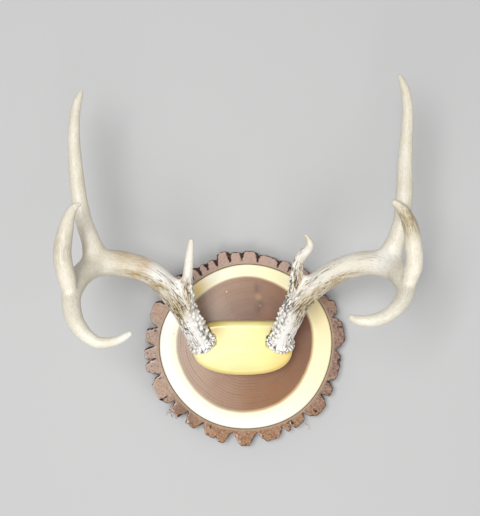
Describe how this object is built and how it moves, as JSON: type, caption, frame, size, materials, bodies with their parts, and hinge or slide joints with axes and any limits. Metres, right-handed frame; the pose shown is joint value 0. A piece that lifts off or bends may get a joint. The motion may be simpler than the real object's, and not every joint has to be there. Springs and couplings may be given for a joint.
{
  "type": "mounted deer antlers",
  "caption": "Whitetail antler rack on a carved block and a bark-edged log-slice wall plaque, lying on its flat back.",
  "frame": {"origin": "middle of the log slice's flat back, on the surface that the plaque lies on", "axes": "+Z leaves the plaque's face, +Y is the top of the plaque as it hangs, +X is to the right of somebody who looks at its face"},
  "size_m": [0.3759, 0.4301, 0.2514],
  "materials": {
    "walnut_slice": "satin",
    "bark": "matte",
    "block_wood": "satin",
    "antler": "satin",
    "steel": "satin"
  },
  "bodies": {
    "root": {"log_slice": "walnut_slice", "mounting_block": "block_wood", "left_beam": "antler", "left_brow_tine": "antler", "left_tall_tine": "antler", "left_front_tine": "antler", "right_beam": "antler", "right_brow_tine": "antler", "right_tall_tine": "antler", "right_front_tine": "antler", "block_screw_1": "steel", "block_screw_2": "steel", "hanger_plate": "steel", "hanger_screw_1": "steel", "hanger_screw_2": "steel"}
  },
  "joints": []
}
